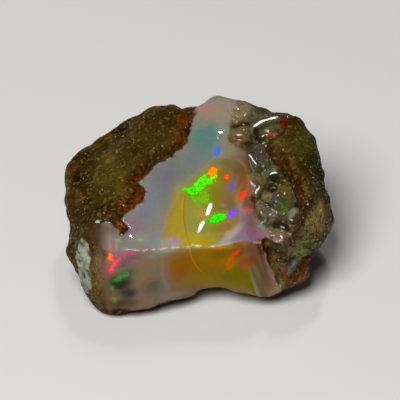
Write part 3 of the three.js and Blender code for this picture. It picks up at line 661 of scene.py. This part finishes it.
front_fire = flashes(pushed(on_front, 0.5, 0.1, 89), [
    ((-8.8, -1.05), (0.28, 0.45), (1.0, 0.16, 0.01), 1.0),
    ((-8.7, -2.2), (0.24, 0.8), (0.85, 0.06, 0.12), 0.9, -20),
    ((-8.1, -1.3), (0.2, 0.75), (0.85, 0.06, 0.14), 0.9, -42),
    ((-6.9, -0.4), (0.6, 0.18), (0.85, 0.05, 0.2), 0.6, 8),
    ((-6.6, -1.5), (0.6, 0.2), (0.5, 0.08, 0.12), 0.5, 8),
    ((-8.0, -3.5), (0.8, 0.3), (0.04, 0.4, 0.03), 0.6, 32),
    ((-7.4, -3.1), (0.5, 0.34), (0.05, 0.36, 0.04), 0.6, 30),
    ((-8.7, -4.8), (0.2, 0.3), (0.15, 0.5, 0.01), 0.5),
    ((-8.5, -6.4), (0.3, 0.35), (0.15, 0.5, 0.01), 0.5),
    ((2.95, -2.95), (0.42, 0.9), (1.0, 0.12, 0.0), 0.38, -22),
    ((3.4, -1.65), (0.24, 0.95), (1.0, 0.1, 0.0), 0.5, -38),
    ((2.0, -0.4), (0.4, 0.18), (0.9, 0.16, 0.0), 0.6),
    ((4.9, -3.3), (0.6, 0.6), (0.6, 0.06, 0.01), 0.14),
])
fire_away = np.where(front > 0.5, front_fire[0], window_fire[0])
fire_colour = np.where(front[:, None] > 0.5, front_fire[1], window_fire[1])
fire_colour *= ((1 - rind) * (1 - fringe) * (1 - wedge))[:, None]
milky_line = spot(pushed(on_front, 1.5, 0.2, 92), (1.2, -1.0), (5.1, 9.0)) + 9 * (1 - front)
milky_line += 9 * (front_across > 0)
core_line = core + 9 * front + 9 * in_band
on_bar = np.zeros(len(points))
for x, y, long, wide, top, turn, rise, lean, bend in BARS:
    on_bar = np.maximum(on_bar, eased(spot(on_window, (x, y, 0), (long, wide, 2), turn), 1.3, 1.0))
gloss = (0.8 - 0.7 * front) * (1 - np.clip(2 * at_left, 0, 1) * eased(parts["front"], -2, -1))
gloss *= 1 - 0.92 * eased(spot(on_window, (4.9, 2.6), (1.1, 4.0)), 1.2, 0.8) * (1 - front)
gloss *= 1 - 0.9 * eased(spot(on_window, (-2.2, 0.1), (0.7, 0.5)), 1.2, 0.8)
inner_line = inner + 9 * (across > 2.6)
inner_shows = eased(up, 7.2, 5.4) * eased(on_window[:, 2], -5.2, -3.0)


def edge(one, two, wide, deep=-0.2):
    """One where two of the stone's surfaces meet, fading to nothing beside it."""
    one, two = parts[one], parts[two]
    return eased(np.abs(one - two), wide, 0.02) * eased(np.minimum(one, two), deep, -0.1)


# The pale chipped edges with a painted highlight along them, broken into painted glints: the ridge,
# the wedge's top and side, and the foot of the rim.
ridge = edge("window", "front", 0.13) * (1 - rind)
ridge *= (1 - np.clip(2 * at_left, 0, 1)) * eased(across, 8.4, 7.6)
ridge *= 1 - 0.8 * eased(across, 1.4, 2.0) * eased(across, 5.6, 5.0)
over_wedge = edge("window", "wedge", 0.18, -0.3) * eased(across, 8.3, 7.9)
wedge_side = edge("wedge", "front", 0.16) * eased(front_across, 8.5, 8.1) * (1 - rind)
rim_foot = eased(np.abs(parts["rim"] + 0.06), 0.12, 0.03) * eased(grit(points, 0.5, 93), -0.2, 0.4)
rim_foot *= (1 - rind) * (1 - front) * eased(across, 0, -1) * eased(across, -8.4, -7.9)
ridge = np.maximum.reduce([ridge, over_wedge, 0.7 * wedge_side, 0.55 * rim_foot])

mesh = bpy.data.meshes.new("rough_opal_stone")
mesh.from_pydata(((points - middle) / 1000).tolist(), [], quads.tolist())
mesh.polygons.foreach_set("use_smooth", [True] * len(mesh.polygons))
for name, values in {
        "rind": rind, "gloss": gloss, "band": in_band * (1 - on_bar), "core": core_line,
        "inner": inner_line, "inner_shows": inner_shows, "milky_line": milky_line,
        "ridge": ridge, "fire_away": fire_away, "sandy": sandy}.items():
    layer = mesh.attributes.new(name, "FLOAT", "POINT")
    layer.data.foreach_set("value", values.astype(np.float32))
for name, colours in {"body": body, "soil": soil, "fire": fire_colour}.items():
    layer = mesh.attributes.new(name, "FLOAT_COLOR", "POINT")
    with_alpha = np.concatenate([colours, np.ones((len(colours), 1))], 1)
    layer.data.foreach_set("color", with_alpha.astype(np.float32).ravel())
mesh.validate()
mesh.update()


def placed(name, data):
    """A new object in the scene, at the origin and unturned."""
    made = bpy.data.objects.new(name, data)
    bpy.context.collection.objects.link(made)
    return made


stone = placed("rough_opal_stone", mesh)


class Wire:
    """A socket of a material's node tree that adds and multiplies like a number."""

    def __init__(self, tree, socket=None):
        self.tree = tree
        self.socket = socket

    def node(self, kind, settings=None, sockets=None, out=0):
        made = self.tree.nodes.new("ShaderNode" + kind)
        for name, value in (settings or {}).items():
            setattr(made, name, value)
        for name, value in (sockets or {}).items():
            if isinstance(value, Wire):
                self.tree.links.new(value.socket, made.inputs[name])
            else:
                made.inputs[name].default_value = value
        return Wire(self.tree, made.outputs[out] if made.outputs else None)

    def math(self, operation, *values):
        return self.node("Math", {"operation": operation}, dict(enumerate(values)))

    def __add__(self, other):
        return self.math("ADD", self, other)

    def __sub__(self, other):
        return self.math("SUBTRACT", self, other)

    def __rsub__(self, other):
        return self.math("SUBTRACT", other, self)

    def __mul__(self, other):
        return self.math("MULTIPLY", self, other)

    __radd__, __rmul__ = __add__, __mul__

    def scaled(self, by):
        """A vector or a colour, times a number."""
        return self.node("VectorMath", {"operation": "SCALE"}, {0: self, "Scale": by})

    def ease(self, start, end, low=0.0, high=1.0):
        """Goes smoothly from low to high while this goes from start to end."""
        return self.node("MapRange", {"interpolation_type": "SMOOTHSTEP"},
                         {"Value": self, "From Min": start, "From Max": end,
                          "To Min": low, "To Max": high})

    def over(self, below, colour, way="MIX"):
        """A colour laid over another, as much as this says."""
        return self.node("Mix", {"data_type": "RGBA", "blend_type": way},
                         {0: self, 6: below, 7: colour}, out=2)


def new_material(name):
    """An empty material, and a wire that adds nodes to it."""
    made = bpy.data.materials.new(name)
    made.use_nodes = True
    made.node_tree.nodes.clear()
    return made, Wire(made.node_tree)


material, w = new_material("opal_in_its_rind")
millimetres = w.node("TexCoord", out="Object").scaled(1000.0)


def of_stone(name, out=2):
    return w.node("Attribute", {"attribute_name": name}, out=out)


def cloud(size, detail=2.0, rough=0.5):
    return w.node("TexNoise", None, {"Vector": millimetres, "Scale": 1.0 / size,
                                     "Detail": detail, "Roughness": rough})


def cells(size, out):
    return w.node("TexVoronoi", {"feature": "F1"},
                  {"Vector": millimetres, "Scale": 1.0 / size}, out=out)


def line(shell, place, width, strength):
    """A thin line where a shell's value passes a place."""
    off = shell - place
    return off.math("ABSOLUTE", off).ease(width, 0.0) * strength


def colour(*screen):
    return (*rgb(*screen), 1.0)


# The opal: growth lines over the body's colours, then the fire, which is given a painted glow: it
# emits a little light of its own.
opal_colour = of_stone("body", 0)
inner_shell = of_stone("inner")
opal_colour = line(of_stone("core"), 0.0, 0.25, 0.16).over(opal_colour, colour(176, 156, 120))
shows = of_stone("inner_shows")
opal_colour = line(inner_shell, 0.972, 0.022, 0.5 * shows).over(opal_colour, colour(140, 100, 8))
opal_colour = line(inner_shell, 1.0, 0.018, 0.5 * shows).over(opal_colour, colour(200, 156, 22))
opal_colour = line(of_stone("milky_line"), 1.0, 0.06, 0.3).over(opal_colour, colour(140, 134, 122))
# Painted glints: the edges' mask, broken up by noise, lays a near-white colour that stands in for
# highlights on the chipped edges.
chipped_edge_glints = of_stone("ridge") * cloud(0.35, 3.0, 0.7).ease(0.48, 0.57, 0.05, 1.0)
opal_colour = chipped_edge_glints.over(opal_colour, colour(212, 190, 186))
mottle = of_stone("band") * 0.8 + 0.1
shade = cloud(0.35, 3.0, 0.6).ease(0.3, 0.7, 0.55, 1.4)
opal_colour = mottle.over(opal_colour, opal_colour.scaled(shade))
chance = w.node("SeparateColor", None, {0: cells(0.13, 1)})
away = of_stone("fire_away") + 0.16 * (chance - 0.5) + 0.5 * (cloud(0.3, 3.0, 0.7) - 0.5)
burning = away.ease(0.06, -0.06) * chance.ease(0.0, 1.0, 0.6, 1.1)
burning = burning * cloud(0.5, 4.0, 0.7).ease(0.35, 0.55, 0.7, 1.1)
# A faint painted glow of the fire's colour spreads round each patch.
glowing = of_stone("fire_away").ease(0.8, -0.2) * 0.2
burning = burning.math("MAXIMUM", burning, glowing)
fire = of_stone("fire", 0).scaled(burning)
strength = w.node("VectorMath", {"operation": "LENGTH"}, {0: fire}, out=1)
opal_colour = strength.ease(0.1, 0.6, 0.0, 0.95).over(opal_colour, fire)
opal_bump = w.node("Bump", None, {"Strength": 0.12, "Distance": 0.0001, "Height": cloud(0.8)})
glossy = 1 - of_stone("band") * cloud(0.5, 3.0, 0.7).ease(0.45, 0.6, 0.0, 0.85)
opal = w.node("BsdfPrincipled", {"subsurface_method": "RANDOM_WALK"}, {
    "Base Color": opal_colour, "Roughness": 0.3, "IOR": 1.45, "Specular IOR Level": 0.0,
    "Subsurface Weight": 0.6, "Subsurface Radius": (1.0, 0.75, 0.45), "Subsurface Scale": 0.0005,
    "Coat Weight": of_stone("gloss") * glossy,
    "Coat Roughness": 0.05,
    # The fire's painted glow: it shines by itself.
    "Emission Color": fire, "Emission Strength": 0.6, "Normal": opal_bump})

# The rind: its colours, with single light and dark grains, a few of them shining.
grain_tone = w.node("SeparateColor", None, {0: cells(0.24, 1)})
pale_grains = grain_tone.ease(0.75, 0.95) * (0.22 + 0.4 * of_stone("sandy"))
dark_grains = grain_tone.ease(0.25, 0.05) * (0.4 + 0.35 * of_stone("sandy"))
rind_colour = pale_grains.over(of_stone("soil", 0), colour(150, 134, 70))
rind_colour = dark_grains.over(rind_colour, colour(24, 14, 2))
rough_grain = 0.5 * cells(0.24, 0) + 0.9 * cloud(0.22, 3.0, 0.7)
rind_bump = w.node("Bump", None, {"Strength": 0.8, "Distance": 0.00018, "Height": rough_grain})
shine = w.node("SeparateColor", None, {0: cells(0.2, 1)}, out=1)
crust = w.node("BsdfPrincipled", None, {
    "Base Color": rind_colour, "Roughness": 0.6, "IOR": 1.45, "Specular IOR Level": 0.05,
    "Coat Weight": shine.ease(0.86, 0.94, 0.0, 0.7), "Coat Roughness": 0.1,
    "Normal": rind_bump})
both = w.node("MixShader", None, {0: of_stone("rind"), 1: opal, 2: crust})
w.node("OutputMaterial", None, {"Surface": both})
mesh.materials.append(material)
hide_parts("rough_opal")
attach(stone, "root")

# Grains of sand in the rind: hard angular bits of quartz and clay, under a third of a
# millimetre across, half sunk in it and strewn at random. A few of them shine.

SMALLEST, LARGEST = 0.00010, 0.00024  # m across, before a grain is stretched
SUNK = 0.00003                        # m from the rind's surface down to a grain's middle
OFF_TABLE = 0.0004                    # m: no grain lies lower, where the stone rests
ON_RIND = 0.97                        # a place with less of the rind than this has no grain
PATCHES = 450.0                       # in a metre: where grains lie thick or thin
tree = bpy.data.node_groups.new("grains_in_the_rind", "GeometryNodeTree")
for name, kind in {"Stone": "Object", "Smallest": "Float", "Largest": "Float",
                   "Grains in a square metre": "Float", "Seed": "Int"}.items():
    tree.interface.new_socket(name=name, in_out="INPUT", socket_type="NodeSocket" + kind)
tree.interface.new_socket(name="Geometry", in_out="OUTPUT", socket_type="NodeSocketGeometry")


def part_of(kind, sockets=None, **settings):
    """A node of the tree. A socket's value is a number, or a node and the name of its output."""
    made = tree.nodes.new(kind)
    for name, value in settings.items():
        setattr(made, name, value)
    for name, value in (sockets or {}).items():
        if isinstance(value, tuple) and hasattr(value[0], "outputs"):
            tree.links.new(value[0].outputs[value[1]], made.inputs[name])
        else:
            made.inputs[name].default_value = value
    return made


def at_random(kind, sockets=None):
    return part_of("FunctionNodeRandomValue", {**(sockets or {}), "Seed": (given, "Seed")},
                   data_type=kind)


given = part_of("NodeGroupInput")
source = part_of("GeometryNodeObjectInfo", {"Object": (given, "Stone")})
rind_share = part_of("GeometryNodeInputNamedAttribute", {"Name": "rind"}, data_type="FLOAT")
height = part_of("ShaderNodeSeparateXYZ", {0: (part_of("GeometryNodeInputPosition"), 0)})
off_table = part_of("FunctionNodeCompare", {0: (height, "Z"), 1: OFF_TABLE},
                    operation="GREATER_THAN")
on_rind = part_of("FunctionNodeCompare", {0: (rind_share, 0), 1: ON_RIND},
                  operation="GREATER_THAN")
allowed = part_of("ShaderNodeMath", {0: (on_rind, 0), 1: (off_table, 0)}, operation="MULTIPLY")
patches = part_of("ShaderNodeTexNoise", {"Scale": PATCHES, "Detail": 2.0})
thick = part_of("ShaderNodeMapRange", {
    "Value": (patches, "Fac"), "From Min": 0.38, "From Max": 0.62, "To Min": 0.15})
density = part_of("ShaderNodeMath", {
    0: (thick, "Result"), 1: (given, "Grains in a square metre")}, operation="MULTIPLY")
strewn = part_of("GeometryNodeDistributePointsOnFaces", {
    "Mesh": (source, "Geometry"), "Selection": (allowed, 0),
    "Density": (density, 0), "Seed": (given, "Seed")})
into_rind = part_of("ShaderNodeVectorMath", {0: (strewn, "Normal"), "Scale": -SUNK},
                    operation="SCALE")
sunk = part_of("GeometryNodeSetPosition", {
    "Geometry": (strewn, "Points"), "Offset": (into_rind, 0)})
bit = part_of("GeometryNodeMeshIcoSphere", {"Radius": 0.5, "Subdivisions": 1})
size = at_random("FLOAT", {2: (given, "Smallest"), 3: (given, "Largest")})
stretch = at_random("FLOAT_VECTOR", {0: (0.6, 0.6, 0.5), 1: (1.2, 1.0, 0.9)})
full = part_of("ShaderNodeVectorMath", {0: (stretch, 0), "Scale": (size, 1)},
               operation="SCALE")
lie = at_random("FLOAT_VECTOR", {1: (6.28, 6.28, 6.28)})
laid = part_of("GeometryNodeInstanceOnPoints", {
    "Points": (sunk, "Geometry"), "Instance": (bit, "Mesh"), "Rotation": (lie, 0),
    "Scale": (full, 0)})
toned = part_of("GeometryNodeStoreNamedAttribute", {
    "Geometry": (laid, "Instances"), "Name": "tone", "Value": (at_random("FLOAT"), 1)},
    domain="INSTANCE", data_type="FLOAT")
whole = part_of("GeometryNodeRealizeInstances", {"Geometry": (toned, "Geometry")})

grain_material, w = new_material("grains_of_sand")
grain_kind = of_stone("tone")
tint = of_stone("soil", 0).scaled(grain_kind.ease(0.0, 1.0, 0.55, 1.6))
tint = grain_kind.ease(0.96, 0.97, 0.0, 0.7).over(tint, colour(150, 140, 104))
grain_shader = w.node("BsdfPrincipled", None, {
    "Base Color": tint, "Roughness": 0.5, "Specular IOR Level": 0.1,
    "Coat Weight": grain_kind.ease(0.86, 0.88, 0.0, 0.9), "Coat Roughness": 0.08})
w.node("OutputMaterial", None, {"Surface": grain_shader})
dressed = part_of("GeometryNodeSetMaterial", {
    "Geometry": (whole, "Geometry"), "Material": grain_material})
part_of("NodeGroupOutput", {"Geometry": (dressed, "Geometry")})

strewer = placed("grain_strewer", bpy.data.meshes.new("grain_strewer"))
modifier = strewer.modifiers.new("grains", "NODES")
modifier.node_group = tree
given_values = {"Stone": stone, "Smallest": SMALLEST, "Largest": LARGEST,
                "Grains in a square metre": 9.0e6, "Seed": 4}
for socket in tree.interface.items_tree:
    if socket.in_out == "INPUT":
        modifier[socket.identifier] = given_values[socket.name]
bpy.context.view_layer.update()
grain_mesh = bpy.data.meshes.new_from_object(
    strewer.evaluated_get(bpy.context.evaluated_depsgraph_get()))
bpy.data.objects.remove(strewer)
grains = placed("grains_in_the_rind", grain_mesh)
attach(grains, "root")

# ------------------------------------------------------- the floor, lamps and camera
# A pale level table, a large soft box at the front left and two small soft lamps high
# behind the stone, as for photographing something wet. The camera looks down on it.

CAMERA_TILT, CAMERA_DISTANCE = math.radians(40), 0.6667  # above level; m
AIM = np.array([0.00005, 0.0, 0.00773])                  # m: what camera and lamps point at

table_mesh = bpy.data.meshes.new("pale_table")
table_mesh.from_pydata([(-0.6, -0.6, 0), (0.6, -0.6, 0), (0.6, 0.8, 0), (-0.6, 0.8, 0)], [],
                       [(0, 1, 2, 3)])
table = placed("pale_table", table_mesh)
pale, w = new_material("pale_card")
card = w.node("BsdfPrincipled", None, {"Base Color": (0.72, 0.71, 0.69, 1), "Roughness": 0.7})
w.node("OutputMaterial", None, {"Surface": card})
table_mesh.materials.append(pale)


def lamp(name, direction, distance, size, power):
    """An oval soft lamp that shines on the stone from a direction."""
    data = bpy.data.lights.new(name, "AREA")
    data.shape = "ELLIPSE"
    data.size, data.size_y = size
    data.energy = power
    made = placed(name, data)
    way = np.array(direction) / np.linalg.norm(direction)
    made.location = AIM + distance * way
    made.rotation_euler = Vector(way).to_track_quat("Z", "Y").to_euler()


lamp("big_soft_box", (-0.25, -0.5, 0.83), 0.5, (0.28, 0.28), 2.6)
lamp("overhead_lamp", (0.090, 0.392, 0.916), 0.4, (0.028, 0.054), 0.16)
lamp("back_lamp", (0.130, 0.520, 0.845), 0.4, (0.021, 0.028), 0.05)

world = bpy.data.worlds.new("studio")
world.use_nodes = True
sky = world.node_tree.nodes["Background"].inputs
sky["Color"].default_value = (0.9, 0.95, 1.0, 1)
sky["Strength"].default_value = 0.04
bpy.context.scene.world = world
bpy.context.scene.view_settings.view_transform = "Standard"

camera_data = bpy.data.cameras.new("camera")
camera_data.lens = 600
camera_data.sensor_width = 36
camera = placed("camera", camera_data)
from_stone = np.array([0.0, -math.cos(CAMERA_TILT), math.sin(CAMERA_TILT)])
camera.location = AIM + CAMERA_DISTANCE * from_stone
camera.rotation_euler = (math.pi / 2 - CAMERA_TILT, 0, 0)
bpy.context.scene.camera = camera
